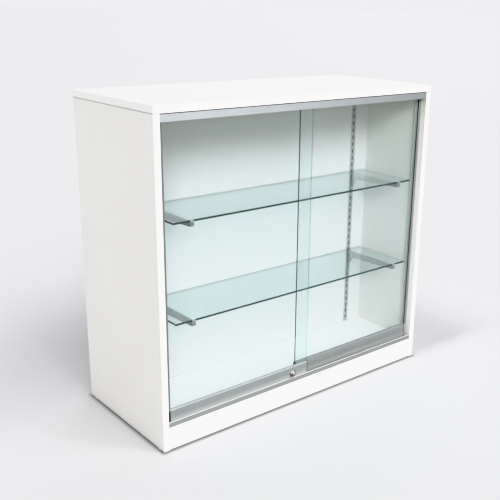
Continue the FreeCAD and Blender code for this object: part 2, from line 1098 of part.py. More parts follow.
def end_caps():
    x_low, x_high = shoe_span()
    y = from_front(front_lane)
    half = shoe_width / 2
    shapes = []
    for low in (x_low - end_cap_thickness, x_high):
        cap = rounded_box(
            low, y - half, shoe_bottom, low + end_cap_thickness, y + half, shoe_top, end_cap_round, X_AXIS
        )
        glass_room = box(
            low - overrun,
            y - glass_thickness / 2 - countersink_gap,
            glass_bottom - countersink_gap,
            low + end_cap_thickness + overrun,
            y + glass_thickness / 2 + countersink_gap,
            shoe_top + overrun,
        )
        shapes.append(cap.cut(glass_room))
    return shapes


def roller_places():
    x_low, x_high = shoe_span()
    return (x_low + carrier_inset, x_high - carrier_inset)


def roller_carriers():
    y = from_front(front_lane)
    half_width = shoe_width / 2 - shoe_wall - carrier_gap
    half_slot = roller_width / 2 + roller_side_gap
    shapes = []
    for x in roller_places():
        body = rounded_box(
            x - carrier_length / 2,
            y - half_width,
            shoe_bottom,
            x + carrier_length / 2,
            y + half_width,
            roller_chamber_top,
            carrier_round,
            Y_AXIS,
        )
        slot_half_length = roller_flange_radius + carrier_slot_room
        slot = box(
            x - slot_half_length,
            y - half_slot,
            shoe_bottom - overrun,
            x + slot_half_length,
            y + half_slot,
            roller_z + roller_flange_radius + carrier_gap,
        )
        hole = rod(x, y - shoe_width, roller_z, axle_radius, shoe_width + shoe_width, Y_AXIS)
        shapes.append(body.cut(slot).cut(hole))
    return shapes


def roller_axles():
    y = from_front(front_lane)
    half = shoe_width / 2 - shoe_wall - carrier_gap
    return [rod(x, y - half, roller_z, axle_radius, half + half, Y_AXIS) for x in roller_places()]


def make_roller(x):
    # A grooved wheel: its tread rides on the rail, and its flanges run down both sides of it.
    y = from_front(front_lane)
    half = roller_width / 2
    groove = roller_groove / 2
    bore = axle_radius + roller_bore_gap
    outline = [
        (bore, y - half),
        (roller_flange_radius, y - half),
        (roller_flange_radius, y - groove),
        (roller_radius, y - groove),
        (roller_radius, y + groove),
        (roller_flange_radius, y + groove),
        (roller_flange_radius, y + half),
        (bore, y + half),
    ]
    return turned_along_y(outline, x, roller_z)


# Push lock


def shoe_face():
    return from_front(front_lane) - shoe_width / 2


def shoe_back():
    return from_front(front_lane) + shoe_width / 2


def collar_front():
    return shoe_face() - collar_proud


def barrel_rear():
    return shoe_back() - shoe_wall - barrel_end_gap


def make_lock_housing():
    face = shoe_face()
    collar = rod(lock_x, collar_front(), lock_z, collar_radius, collar_proud, Y_AXIS)
    front_edges = [edge for edge in collar.Edges if abs(edge.BoundBox.YMax - collar_front()) < fit_gap]
    collar = collar.makeFillet(collar_round, front_edges)
    barrel = rod(lock_x, face, lock_z, barrel_radius, barrel_rear() - face, Y_AXIS)
    body = collar.fuse(barrel).removeSplitter()
    room_radius = plunger_radius + plunger_gap
    room_length = collar_proud - collar_floor + overrun
    head_room = rod(lock_x, collar_front() - overrun, lock_z, room_radius, room_length, Y_AXIS)
    bore_front = face - collar_proud
    bore_length = barrel_rear() - barrel_end_wall - bore_front
    bore = rod(lock_x, bore_front, lock_z, barrel_bore_radius, bore_length, Y_AXIS)
    bolt_hole = rod(lock_x, face, lock_z, bolt_radius + bolt_gap, shoe_width, Y_AXIS)
    return body.cut(head_room).cut(bore).cut(bolt_hole)


def make_lock_nut():
    # A square nut that slides in the middle chamber and can't turn there.
    inner_face = shoe_face() + shoe_wall
    half = lock_chamber_height / 2 - nut_gap
    nut = box(
        lock_x - half, inner_face, lock_z - half, lock_x + half, inner_face + nut_thickness, lock_z + half
    )
    return nut.cut(rod(lock_x, inner_face - overrun, lock_z, barrel_radius + barrel_fit, shoe_width, Y_AXIS))


def plunger_front():
    return collar_front() - plunger_proud


def plunger_head_rear():
    # Pushed in, the head stops just short of the collar's floor.
    return shoe_face() - collar_floor - plunger_rest_gap - plunger_travel


def bolt_tip():
    # Pushed in, the bolt stops just short of the rear door's shoe.
    gap_end = shoe_face() + lane_pitch
    return gap_end - bolt_tip_clearance - plunger_travel


def guide_ring_front():
    return shoe_face() + plunger_rest_gap


def key_plug_front():
    return plunger_front() - key_plug_sink


def make_plunger():
    front = plunger_front()
    head = rod(lock_x, front, lock_z, plunger_radius, plunger_head_rear() - front, Y_AXIS)
    front_edges = [edge for edge in head.Edges if abs(edge.BoundBox.YMax - front) < fit_gap]
    head = head.makeFillet(plunger_round, front_edges)
    rear = plunger_head_rear()
    bolt = rod(lock_x, rear, lock_z, bolt_radius, bolt_tip() - rear, Y_AXIS)
    tip_edges = [edge for edge in bolt.Edges if abs(edge.BoundBox.YMin - bolt_tip()) < fit_gap]
    bolt = bolt.makeFillet(bolt_tip_round, tip_edges)
    ring_radius = barrel_bore_radius - guide_ring_gap
    ring = rod(lock_x, guide_ring_front(), lock_z, ring_radius, guide_ring_thickness, Y_AXIS)
    body = head.multiFuse([bolt, ring]).removeSplitter()
    pocket = rod(
        lock_x,
        key_plug_front() - overrun,
        lock_z,
        key_plug_radius + key_plug_gap,
        key_plug_length + key_plug_gap + overrun,
        Y_AXIS,
    )
    return body.cut(pocket)


def make_key_plug():
    front = key_plug_front()
    plug = rod(lock_x, front, lock_z, key_plug_radius, key_plug_length, Y_AXIS)
    keyway = box(
        lock_x - keyway_width / 2,
        front - overrun,
        lock_z - keyway_height / 2,
        lock_x + keyway_width / 2,
        front + keyway_depth,
        lock_z + keyway_height / 2,
    )
    return plug.cut(keyway)


def make_spring():
    # A coil round the bolt, between the plunger's guide ring and the end wall of the barrel.
    start = guide_ring_front() + guide_ring_thickness + spring_wire_radius + spring_end_gap
    end = barrel_rear() - barrel_end_wall - spring_wire_radius - spring_end_gap
    length = end - start
    coil_radius = (bolt_radius + barrel_bore_radius) / 2
    path = Part.makeHelix(length / spring_turns, length, coil_radius)
    ring = Part.makeCircle(spring_wire_radius, FreeCAD.Vector(coil_radius, 0, 0), Y_AXIS)
    coil = Part.Wire(path).makePipeShell([Part.Wire(ring)], True, True)
    coil.rotate(FreeCAD.Vector(0, 0, 0), X_AXIS, -90)
    coil.translate(FreeCAD.Vector(lock_x, start, lock_z))
    return coil


def keeper_left():
    return lock_x + bolt_radius + keeper_bolt_gap


def keeper_face():
    # The front face of the rear door's shoe, which carries the keeper.
    return shoe_face() + lane_pitch


def keeper_thickness():
    return lane_pitch - shoe_width - keeper_gap


def keeper_shoe_end():
    # The left end of the metal of the rear door's shoe.
    return -shoe_span()[1]


def keeper_screw_spots():
    middle = keeper_shoe_end() + keeper_hold / 2
    half = keeper_screw_spacing / 2
    return [(middle - half, lock_z), (middle + half, lock_z)]


def make_keeper():
    # A plate on the rear door's shoe that stands in the way of the pushed-in bolt.
    face = keeper_face()
    plate = rounded_box(
        keeper_left(),
        face - keeper_thickness(),
        lock_z - keeper_height / 2,
        keeper_shoe_end() + keeper_hold,
        face,
        lock_z + keeper_height / 2,
        keeper_round,
        Y_AXIS,
    )
    return cut_all(plate, [keeper_screw(x, z, countersink_gap) for x, z in keeper_screw_spots()])


def keeper_screw(x, z, extra):
    return screw(
        x,
        keeper_face() - keeper_thickness(),
        z,
        Y_AXIS,
        keeper_screw_radius + extra,
        keeper_screw_head_radius + extra,
        keeper_screw_head_height + extra,
        keeper_screw_length + extra,
    )


def keeper_screw_tools():
    # The same holes, written for the front lane, because the rear shoe is a mirrored copy.
    shapes = []
    for x, z in keeper_screw_spots():
        y = keeper_face() - lane_pitch - overrun
        shapes.append(rod(-x, y, z, keeper_screw_radius + countersink_gap, shoe_wall + overrun + overrun, Y_AXIS))
    return shapes


def keeper_screws():
    return [keeper_screw(x, z, 0) for x, z in keeper_screw_spots()]


def build_cabinet():
    right_side = make_right_side()
    save("top_panel", [make_top()])
    save("top_edge_banding", top_bands())
    save("left_side_panel", [mirrored(right_side)])
    save("right_side_panel", [right_side])
    save("side_edge_banding", side_bands())
    save("deck_panel", [make_deck()])
    save("display_back_panel", [make_back_panel()])
    save("front_plinth", [make_front_plinth()])
    save("rear_plinth", [make_rear_plinth()])
    save("plinth_blocks", plinth_blocks())
    save("lower_storage_shelf", [make_storage_shelf(lower_storage_height)])
    save("upper_storage_shelf", [make_storage_shelf(upper_storage_height)])
    save("storage_shelf_pins", shelf_pins())
    save("wood_dowels", both_sides(dowels(0)))
    save("connector_cams", make_cams())
    save("connector_rods", both_sides(connector_rods(0)))
    save("back_panel_screws", back_screws())
    save("floor_glides", glides())


def build_tracks():
    save("upper_track", [make_upper_track()])
    save("upper_track_liners", track_liners())
    save("lower_track", [make_lower_track()])
    save("track_screws", [screw_with_cross(*place) for place in upper_screw_places() + lower_screw_places()])
    save("left_jamb_channel", [make_jamb(front_lane, -1)])
    save("right_jamb_channel", [make_jamb(rear_lane, 1)])
    save("jamb_bumpers", [jamb_bumper(front_lane, -1), jamb_bumper(rear_lane, 1)])


def build_shelving():
    save("left_slotted_standard", [make_standard(left_standard_x)])
    save("right_slotted_standard", [make_standard(right_standard_x)])
    places = standard_screw_places(left_standard_x) + standard_screw_places(right_standard_x)
    save("standard_screws", [screw_with_cross(*place) for place in places])
    names = ("upper_left_bracket", "upper_right_bracket", "lower_left_bracket", "lower_right_bracket")
    for name, (x, slot_index) in zip(names, bracket_places()):
        save(name, [make_bracket(x, slot_index)])
    save("bracket_pads", bracket_pads())
    save("bracket_tip_caps", tip_caps())
    save("upper_glass_shelf", [make_glass_shelf(bracket_slot(upper_bracket_share))])
    save("lower_glass_shelf", [make_glass_shelf(bracket_slot(lower_bracket_share))])


def build_door(name, rear):
    save(name + "_door_glass", [place_door(make_door_glass(), rear)])
    save(name + "_door_shoe", [place_door(make_shoe(not rear), rear)])
    save(name + "_door_gasket", [place_door(make_gasket(), rear)])
    save(name + "_door_end_caps", [place_door(cap, rear) for cap in end_caps()])
    save(name + "_door_roller_carriers", [place_door(carrier, rear) for carrier in roller_carriers()])
    save(name + "_door_axles", [place_door(axle, rear) for axle in roller_axles()])
    outer, inner = [place_door(make_roller(x), rear) for x in roller_places()]
    left, right = (inner, outer) if rear else (outer, inner)
    save(name + "_left_roller", [left])
    save(name + "_right_roller", [right])


def build_lock():
    save("lock_housing", [make_lock_housing()])
    save("lock_nut", [make_lock_nut()])
    save("lock_plunger", [make_plunger()])
    save("lock_spring", [make_spring()])
    save("key_plug", [make_key_plug()])
    save("lock_keeper", [make_keeper()])
    save("keeper_screws", keeper_screws())


def main():
    os.makedirs("parts", exist_ok=True)
    build_cabinet()
    build_tracks()
    build_shelving()
    build_door("front", False)
    build_door("rear", True)
    build_lock()


main()
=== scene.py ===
import math

import bmesh
import bpy
from mathutils import Matrix, Vector


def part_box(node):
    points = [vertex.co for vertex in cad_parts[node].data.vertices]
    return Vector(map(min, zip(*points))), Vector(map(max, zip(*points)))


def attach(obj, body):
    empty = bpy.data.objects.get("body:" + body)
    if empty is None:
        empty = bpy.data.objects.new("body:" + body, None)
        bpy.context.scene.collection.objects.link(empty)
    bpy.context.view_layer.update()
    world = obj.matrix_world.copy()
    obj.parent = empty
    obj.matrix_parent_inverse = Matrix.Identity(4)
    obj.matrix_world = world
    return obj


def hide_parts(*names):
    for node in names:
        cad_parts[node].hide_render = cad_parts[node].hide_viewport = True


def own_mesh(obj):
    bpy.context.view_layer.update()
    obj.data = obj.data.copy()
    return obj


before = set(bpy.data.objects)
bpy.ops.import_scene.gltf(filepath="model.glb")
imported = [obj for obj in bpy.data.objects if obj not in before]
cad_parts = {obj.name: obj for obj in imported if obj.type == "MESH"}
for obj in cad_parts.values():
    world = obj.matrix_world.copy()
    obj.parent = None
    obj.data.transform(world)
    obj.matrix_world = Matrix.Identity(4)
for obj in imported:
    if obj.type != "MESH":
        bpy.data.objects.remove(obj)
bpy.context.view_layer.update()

scene = bpy.context.scene


# Camera, solved from the photograph's vanishing points. The first four are in the photo's pixels.

FOCAL_LENGTH = 778.9445
PICTURE_SIDE = 500
CENTRE_ACROSS = 288.17
CENTRE_DOWN = 253.58
SENSOR_WIDTH = 36.0
CAMERA_RIGHT = (0.7630, -0.6461, 0.0188)
CAMERA_UP = (0.1824, 0.2430, 0.9527)
CAMERA_BACK = (-0.6201, -0.7235, 0.3032)
CAMERA_PLACE = (-1.5634, -1.9565, 1.2465)
NEAREST = 0.05
FARTHEST = 500


def make_camera():
    data = bpy.data.cameras.new("camera")
    data.sensor_width = SENSOR_WIDTH
    data.lens = SENSOR_WIDTH * FOCAL_LENGTH / PICTURE_SIDE
    data.shift_x = 0.5 - CENTRE_ACROSS / PICTURE_SIDE
    data.shift_y = CENTRE_DOWN / PICTURE_SIDE - 0.5
    data.clip_start = NEAREST
    data.clip_end = FARTHEST
    camera = bpy.data.objects.new("camera", data)
    place = Matrix((CAMERA_RIGHT, CAMERA_UP, CAMERA_BACK)).transposed().to_4x4()
    place.translation = Vector(CAMERA_PLACE)
    camera.matrix_world = place
    scene.collection.objects.link(camera)
    scene.camera = camera


make_camera()


# Shader graphs

# Sockets of the Mix node in its colour mode
MIX_FACTOR, MIX_FIRST, MIX_SECOND, MIX_RESULT = 0, 6, 7, 2

# Nearly all values of a noise lie between these.
NOISE_LOW, NOISE_HIGH = 0.3, 0.7

# Lengths over which one tone gives way to the next
BORDER = 0.0002
LIP_BORDER = 0.0003
GROOVE_BORDER = 0.0004


def scaled(colour, share):
    return tuple(share * value for value in colour)


class Graph:
    """A node tree, with short calls for the nodes that the materials share."""

    def __init__(self, tree, output="OutputMaterial"):
        self.tree = tree
        self.tree.nodes.clear()
        self.output = self.add(output)
        self.axes = None

    def add(self, kind, settings=None, **inputs):
        node = self.tree.nodes.new("ShaderNode" + kind)
        for key, value in (settings or {}).items():
            setattr(node, key, value)
        for key, value in inputs.items():
            self.feed(node.inputs[key.replace("_", " ")], value)
        return node

    def feed(self, socket, value):
        if isinstance(value, bpy.types.NodeSocket):
            self.tree.links.new(value, socket)
        elif socket.type == "RGBA":
            socket.default_value = (*value, 1.0)
        else:
            socket.default_value = value

    def show(self, shader):
        self.feed(self.output.inputs["Surface"], shader.outputs[0])

    def principled(self, **inputs):
        self.show(self.add("BsdfPrincipled", **inputs))

    def mixed(self, factor, first, second):
        node = self.add("MixShader")
        for socket, value in enumerate((factor, first.outputs[0], second.outputs[0])):
            self.feed(node.inputs[socket], value)
        return node

    def place(self, stretch=(1, 1, 1)):
        coords = self.add("TexCoord").outputs["Object"]
        if stretch == (1, 1, 1):
            return coords
        return self.add("Mapping", Vector=coords, Scale=stretch).outputs["Vector"]

    def at(self, axis):
        # The place along one of the counter's axes, in metres
        if self.axes is None:
            self.axes = self.add("SeparateXYZ", Vector=self.place())
        return self.axes.outputs[axis]

    def noise(self, scale, detail=2.0, stretch=(1, 1, 1), roughness=0.5):
        where = self.place(stretch)
        node = self.add("TexNoise", Vector=where, Scale=scale, Detail=detail, Roughness=roughness)
        return node.outputs["Fac"]

    def between(self, value, low, high, to_low=0.0, to_high=1.0, ramp="LINEAR"):
        node = self.add("MapRange", {"clamp": True, "interpolation_type": ramp}, Value=value)
        ends = {"From Min": low, "From Max": high, "To Min": to_low, "To Max": to_high}
        for key, number in ends.items():
            self.feed(node.inputs[key], number)
        return node.outputs["Result"]

    def spread(self, noise, to_low=0.0, to_high=1.0):
        return self.between(noise, NOISE_LOW, NOISE_HIGH, to_low, to_high)

    def past(self, value, edge, share=1.0, border=BORDER):
        return self.between(value, edge, edge + border, 0.0, share)

    def before(self, value, edge, share=1.0, border=BORDER):
        return self.between(value, edge, edge + border, share, 0.0)

    def colours(self, factor, first, second):
        node = self.add("Mix", {"data_type": "RGBA"})
        self.feed(node.inputs[MIX_FACTOR], factor)
        self.feed(node.inputs[MIX_FIRST], first)
        self.feed(node.inputs[MIX_SECOND], second)
        return node.outputs[MIX_RESULT]

    def math(self, operation, first, second=0.0):
        node = self.add("Math", {"operation": operation})
        self.feed(node.inputs[0], first)
        self.feed(node.inputs[1], second)
        return node.outputs[0]

    def product(self, first, *others):
        for other in others:
            first = self.math("MULTIPLY", first, other)
        return first

    def distance(self, value, centre):
        return self.math("ABSOLUTE", self.math("SUBTRACT", value, centre))

    def bump(self, height, distance, strength=1.0, under=None):
        node = self.add("Bump", Height=height, Distance=distance, Strength=strength)
        if under is not None:
            self.feed(node.inputs["Normal"], under)
        return node.outputs["Normal"]


def new_graph(name):
    material = bpy.data.materials.new(name)
    material.use_nodes = True
    return material, Graph(material.node_tree)


# Places where the materials change, in metres

SOLE = 0.003
DECK_TOP = 0.075
TOP_JOINT = 0.979
SIDE_FACE = 0.521
BACK_FACE = 0.0425
BACK_THICKNESS = 0.019
LANES = (-0.2145, -0.1965, -0.1830)
LANE_HALF_WIDTH = 0.0066
LIP_LOW = 0.0904
LIP_HIGH = 0.0921
LIP_REAR = -0.2230
SHOE_FRONT = -0.2227
SHOE_TOP = 0.106
GUTTER_FRONT = -0.2207
GUTTER_TOP = 0.0893

# From where to where a tone comes or goes: heights, or distances from a joint or an end

YELLOW_SHADE_HEIGHTS = (0.74, 0.95)
UNDER_TOP_SHADE_HEIGHTS = (0.89, 0.97)
SCUFF_HEIGHTS = (0.0, 0.035)
SOLE_HEIGHTS = (SOLE + 0.0004, SOLE + 0.0012)
CORNER_HEIGHTS = (DECK_TOP + 0.0010, DECK_TOP + 0.0045)
JOINT_REACH = (0.0012, 0.0020)
END_REACH = (0.0016, 0.0010)
CHANGE_ACROSS = (-0.3, 0.5)
BAND_ACROSS = (-0.5, 0.5)

YELLOW_SHADE = (0.48, 0.50, 0.27)
UNDER_TOP_SHADE = (0.27, 0.29, 0.20)
SCUFF = (0.42, 0.40, 0.37)
JOINT_SHADE_AND_DUST = (0.22, 0.20, 0.18)
SOLE_SHADE = (0.07, 0.065, 0.06)
END_LINE_TONE = (0.20, 0.19, 0.17)
CORNER_SHADE_AND_DUST = (0.34, 0.35, 0.33)
GROOVE_SHADE_DARK = (0.035, 0.028, 0.022)
GROOVE_SHADE_PALE = (0.10, 0.08, 0.06)
SHADE = (0.02, 0.02, 0.02)
LOWER_LIGHT_TONE = (0.52, 0.535, 0.535)
GUTTER_LIGHT_TONE = (0.43, 0.44, 0.44)
BAND_LEFT = (0.250, 0.260, 0.257)
BAND_RIGHT = (0.222, 0.224, 0.220)
LIP_HIGHLIGHT = (0.80, 0.81, 0.815)
STRIP_SHADE = (0.020, 0.020, 0.018)
LANE_LIGHT_TONE = (0.86, 0.87, 0.865)
UNDERSIDE_SHADE_TONE = (0.024, 0.025, 0.023)


# What time and use have done to single boards, and where shade is painted on them. Each takes a
# colour and gives the changed one.


def painted_display_shade(g, colour, inside):
    # Faces of the display space are painted greyer than the outer ones: painted shade for the
    # dimmer light inside.
    across = g.before(g.math("ABSOLUTE", g.at("X")), SIDE_FACE + 0.0002)
    along = g.before(g.at("Y"), BACK_FACE + 0.0002)
    under = g.before(g.at("Z"), TOP_JOINT + 0.0001)
    # Towards the top they are painted darker and a little yellow: painted shade under the top.
    yellow_shade = g.colours(g.between(g.at("Z"), *YELLOW_SHADE_HEIGHTS, 0.0, 0.24), inside, YELLOW_SHADE)
    # Close under the top they are painted the darkest: painted shade of the top and the upper
    # track.
    deepest_shade = g.colours(g.between(g.at("Z"), *UNDER_TOP_SHADE_HEIGHTS, 0.0, 0.56), yellow_shade, UNDER_TOP_SHADE)
    return g.colours(g.product(across, along, under), colour, deepest_shade)


def floor_wear(g, colour, amount):
    near_floor = g.between(g.at("Z"), *SCUFF_HEIGHTS, amount, 0.0)
    smear = g.between(g.noise(30.0, 4.0, (0.3, 0.3, 1.0)), 0.35, 0.7, 0.1, 1.0)
    return g.colours(g.product(near_floor, smear), colour, SCUFF)


def joint_and_sole_shade(g, colour, amount):
    # A darker line along the joint under the top is painted shade with some dust; the darker lowest
    # edge over the floor is painted shade of the gap beneath.
    joint = g.between(g.distance(g.at("Z"), TOP_JOINT), *JOINT_REACH, amount, 0.0)
    colour = g.colours(joint, colour, JOINT_SHADE_AND_DUST)
    return g.colours(g.between(g.at("Z"), *SOLE_HEIGHTS, 0.30, 0.0), colour, SOLE_SHADE)


def end_joint_line(g, colour, end):
    # A fine darker line is drawn where the board's ends meet the sides.
    low, high = (end - reach for reach in END_REACH)
    line = g.between(g.math("ABSOLUTE", g.at("X")), low, high, 0.0, 0.55)
    return g.colours(line, colour, END_LINE_TONE)


def bare_shaded_grooves(g, colour):
    # The grooves milled into the back panel lay its chipboard core bare; it is painted near black,
    # partly painted shade deep in the grooves.
    chips = g.noise(260.0, 4.0, (1.0, 1.0, 0.35), 0.7)
    raw = g.colours(g.spread(chips), GROOVE_SHADE_DARK, GROOVE_SHADE_PALE)
    sunk = g.past(g.at("Y"), BACK_FACE + 0.0004, border=GROOVE_BORDER)
    within = g.before(g.at("Y"), BACK_FACE + BACK_THICKNESS - 0.0006, border=GROOVE_BORDER)
    return g.colours(g.product(sunk, within), colour, raw)


def corner_shade_and_dust(g, colour):
    # Dust and shade gather in the corner along the display's floor.
    return g.colours(g.between(g.at("Z"), *CORNER_HEIGHTS, 0.58, 0.0), colour, CORNER_SHADE_AND_DUST)


def board_material(name, pale, deep, roughness, touches=()):
    # Melamine face: a fine orange-peel skin, faint clouding and slightly uneven gloss
    material, g = new_graph(name)
    skin = g.noise(900.0)
    patches = g.noise(38.0, 3.0, roughness=0.6)
    colour = g.colours(g.between(g.noise(4.0, 3.0), 0.35, 0.65), pale, deep)
    specks = g.between(g.noise(420.0, 1.0), 0.70, 0.78, 0.0, 0.35)
    colour = g.colours(specks, colour, scaled(deep, 0.93))
    for touch, *values in touches:
        colour = touch(g, colour, *values)
    g.principled(
        Base_Color=colour,
        Roughness=g.spread(patches, roughness - 0.05, roughness + 0.07),
        Specular_IOR_Level=0.45,
        Normal=g.bump(skin, 0.00005, 0.35, g.bump(patches, 0.0002, 0.15)),
    )
    return material


# The same for drawn metal


def painted_light_across(g, colour, right):
    # The tone is painted to change slowly from left to right: painted shade and reflection along
    # the part.
    return g.colours(g.between(g.at("X"), *CHANGE_ACROSS), colour, right)


def top_seam(g, colour, edge):
    # Dust and shade fill the joint above this height.
    return g.colours(g.past(g.at("Z"), edge, 0.95, LIP_BORDER), colour, SHADE)


def painted_lower_light(g, colour):
    # Lower down the shoes are painted paler: painted light that grows towards the bottom.
    lower = g.between(g.at("Z"), GUTTER_TOP, SHOE_TOP, 0.62, 0.0)
    return g.colours(g.product(lower, g.past(g.at("Y"), SHOE_FRONT)), colour, LOWER_LIGHT_TONE)


def painted_gutter_light(g, colour):
    # Behind the track's lip the gutter is painted paler still: painted light in the lip's shadow.
    behind = g.past(g.at("Y"), GUTTER_FRONT, 0.9)
    return g.colours(g.product(behind, g.before(g.at("Z"), GUTTER_TOP)), colour, GUTTER_LIGHT_TONE)


def lip_highlight_and_band(g, colour):
    # Under the lip, the front of the track is a plainer grey, a shade darker towards the right.
    front = g.before(g.at("Y"), LIP_REAR)
    band = g.colours(g.between(g.at("X"), *BAND_ACROSS), BAND_LEFT, BAND_RIGHT)
    below = g.before(g.at("Z"), LIP_LOW, 0.85, LIP_BORDER)
    colour = g.colours(g.product(below, front), colour, band)
    # The lip itself is painted bright: a painted highlight along its top.
    rise = g.past(g.at("Z"), LIP_LOW, border=LIP_BORDER)
    fall = g.before(g.at("Z"), LIP_HIGH - LIP_BORDER, border=LIP_BORDER)
    return g.colours(g.product(rise, fall, front), colour, LIP_HIGHLIGHT)


def shaded_behind(g, colour, depth):
    # Behind this depth the folded strip is painted near black: painted shade inside its slots.
    return g.colours(g.past(g.at("Y"), depth), colour, STRIP_SHADE)


def painted_lane_light(g, colour):
    # Within the channels and behind them the jamb is painted pale: painted light in its shaded
    # hollows.
    for lane in LANES:
        within = g.before(g.distance(g.at("Y"), lane), LANE_HALF_WIDTH, 0.9)
        colour = g.colours(within, colour, LANE_LIGHT_TONE)
    return colour


ALONG = {"x": (0.012, 1, 1), "y": (1, 0.012, 1), "z": (1, 1, 0.012)}


def drawn_metal(name, pale, deep, roughness, along, metallic, lines=900.0, touches=()):
    # Extruded and anodised, or drawn, metal with fine lines along its length
    material, g = new_graph(name)
    streaks = g.noise(lines, 3.0, ALONG[along], 0.65)
    broad = g.between(g.noise(24.0), 0.4, 0.7, 0.0, 0.35)
    colour = g.colours(broad, g.colours(g.spread(streaks), deep, pale), scaled(deep, 0.9))
    for touch, *values in touches:
        colour = touch(g, colour, *values)
    g.principled(
        Base_Color=colour,
        Metallic=metallic,
        Roughness=g.between(streaks, 0.25, 0.75, roughness - 0.05, roughness + 0.09),
        Normal=g.bump(streaks, 0.00002, 0.5),
    )
    return material


def plated_metal(name, colour, roughness, smudge, underside_shade=0.0):
    material, g = new_graph(name)
    smudges = g.noise(160.0, 3.0, roughness=0.6)
    tint = g.colours(g.between(smudges, 0.35, 0.7), colour, scaled(colour, 0.9))
    if underside_shade:
        # The undersides are painted dark: painted shade and painted dark reflections.
        normal = g.add("NewGeometry").outputs["Normal"]
        upward = g.add("SeparateXYZ", Vector=normal).outputs["Z"]
        tint = g.colours(g.between(upward, -0.35, 0.50, underside_shade, 0.0), tint, UNDERSIDE_SHADE_TONE)
    g.principled(
        Base_Color=tint,
        Metallic=1.0,
        Roughness=g.between(smudges, 0.3, 0.75, roughness, roughness + smudge),
        Normal=g.bump(g.noise(900.0), 0.000015, 0.2),
    )
    return material


def moulded(name, pale, deep, roughness, grain=700.0, depth=0.00008, soft=0.0):
    # Plastic or rubber with fine pores. The softer ones let some light into their surface.
    material, g = new_graph(name)
    pores = g.noise(grain, 3.0, roughness=0.6)
    g.principled(
        Base_Color=g.colours(g.spread(g.noise(45.0, 3.0)), pale, deep),
        Roughness=g.spread(pores, roughness - 0.06, roughness + 0.08),
        Subsurface_Weight=soft,
        Subsurface_Radius=(0.002, 0.002, 0.0015),
        Normal=g.bump(pores, depth, 0.5),
    )
    return material


def wood(name, spring_wood, late_wood, fibre):
    material, g = new_graph(name)
    rings = g.add(
        "TexWave",
        {"wave_type": "BANDS", "bands_direction": "Z"},
        Vector=g.place((1.0, 6.0, 1.0)),
        Scale=26.0,
        Distortion=5.0,
        Detail=3.0,
    )
    fibres = g.noise(700.0, 3.0, (0.06, 1.0, 1.0), 0.7)
    colour = g.colours(rings.outputs["Fac"], late_wood, spring_wood)
    g.principled(
        Base_Color=g.colours(g.between(fibres, 0.5, 0.75, 0.0, 0.5), colour, fibre),
        Roughness=g.spread(fibres, 0.5, 0.7),
        Normal=g.bump(fibres, 0.0001, 0.4),
    )
    return material


HEAD_ON_MIRROR = 0.042
SCHLICK_POWER = 5.0
EDGE_SHADOW_PASS = 0.90


def pane_face(name, tint):
    # One face of a pane: it lets light straight through with a faint tint, and mirrors by Fresnel.
    material, g = new_graph(name)
    wipe = g.noise(9.0, 4.0, (1.0, 1.0, 0.35), 0.6)
    clear = g.add("BsdfTransparent", Color=g.colours(g.spread(wipe), tint, scaled(tint, 0.985)))
    smears = g.between(wipe, 0.35, 0.75, 0.0, 0.03)
    gloss = g.add("BsdfGlossy", Color=(1.0, 1.0, 1.0), Roughness=smears)
    # Schlick's form, the same from both sides, because the light isn't bent
    facing = g.add("LayerWeight", Blend=0.5).outputs["Facing"]
    grazing = g.math("POWER", facing, SCHLICK_POWER)
    g.show(g.mixed(g.between(grazing, 0.0, 1.0, HEAD_ON_MIRROR, 1.0), clear, gloss))
    return material


def pane_edge(name, deep, pale, from_inside, beyond):
    # Ground and polished edge: the dark green of looking along the sheet
    material, g = new_graph(name)
    ripples = g.noise(500.0, 2.0, (0.1, 1.0, 0.1))
    ground = g.add(
        "BsdfPrincipled",
        Base_Color=g.colours(g.spread(g.noise(35.0, 3.0, roughness=0.6)), deep, pale),
        Roughness=g.spread(ripples, 0.12, 0.24),
        Specular_IOR_Level=0.06,
        Normal=g.bump(ripples, 0.00004, 0.4),
    )
    # Seen from within the sheet, the far edge lets part of the light through.
    clear = g.add("BsdfTransparent", Color=beyond)
    inward = g.product(g.add("NewGeometry").outputs["Backfacing"], from_inside)
    # Its shadow is nearly as light as that of the faces.
    shadow = g.product(g.add("LightPath").outputs["Is Shadow Ray"], EDGE_SHADOW_PASS)
    g.show(g.mixed(g.math("MAXIMUM", inward, shadow), ground, clear))
    return material


# Materials. Each has a paler and a deeper tone, and a mean roughness.

WHITE = ((0.880, 0.877, 0.860), (0.866, 0.862, 0.843), 0.44)
LAMINATE = board_material(
    "laminate",
    *WHITE,
    touches=((painted_display_shade, (0.708, 0.702, 0.692)), (floor_wear, 0.10), (joint_and_sole_shade, 0.75)),
)
SHELF_BOARD = board_material("laminate_shelf", *WHITE)
# The top board is painted paler than the others: painted light for the brighter light on top.
TOP = board_material(
    "laminate_top",
    (0.930, 0.930, 0.930),
    (0.915, 0.915, 0.915),
    0.40,
    touches=((painted_display_shade, (0.58, 0.580, 0.565)),),
)
# The deck is painted paler than the other boards: painted light on the display's floor.
DECK = board_material("laminate_deck", (0.945, 0.935, 0.940), (0.930, 0.920, 0.925), 0.44)
INNER = board_material(
    "laminate_back",
    (0.880, 0.876, 0.862),
    (0.866, 0.861, 0.845),
    0.44,
    touches=((painted_display_shade, (0.700, 0.686, 0.700)), (bare_shaded_grooves,), (corner_shade_and_dust,)),
)
# The plinth is painted greyer than the other boards: painted shade low at the front.
PLINTH = board_material(
    "laminate_plinth",
    (0.800, 0.804, 0.806),
    (0.785, 0.787, 0.788),
    0.44,
    touches=((floor_wear, 0.18), (joint_and_sole_shade, 0.5), (end_joint_line, SIDE_FACE)),
)
EDGE = board_material(
    "edge_strip",
    (0.930, 0.930, 0.925),
    (0.915, 0.913, 0.905),
    0.36,
    touches=((floor_wear, 0.10), (joint_and_sole_shade, 0.30)),
)

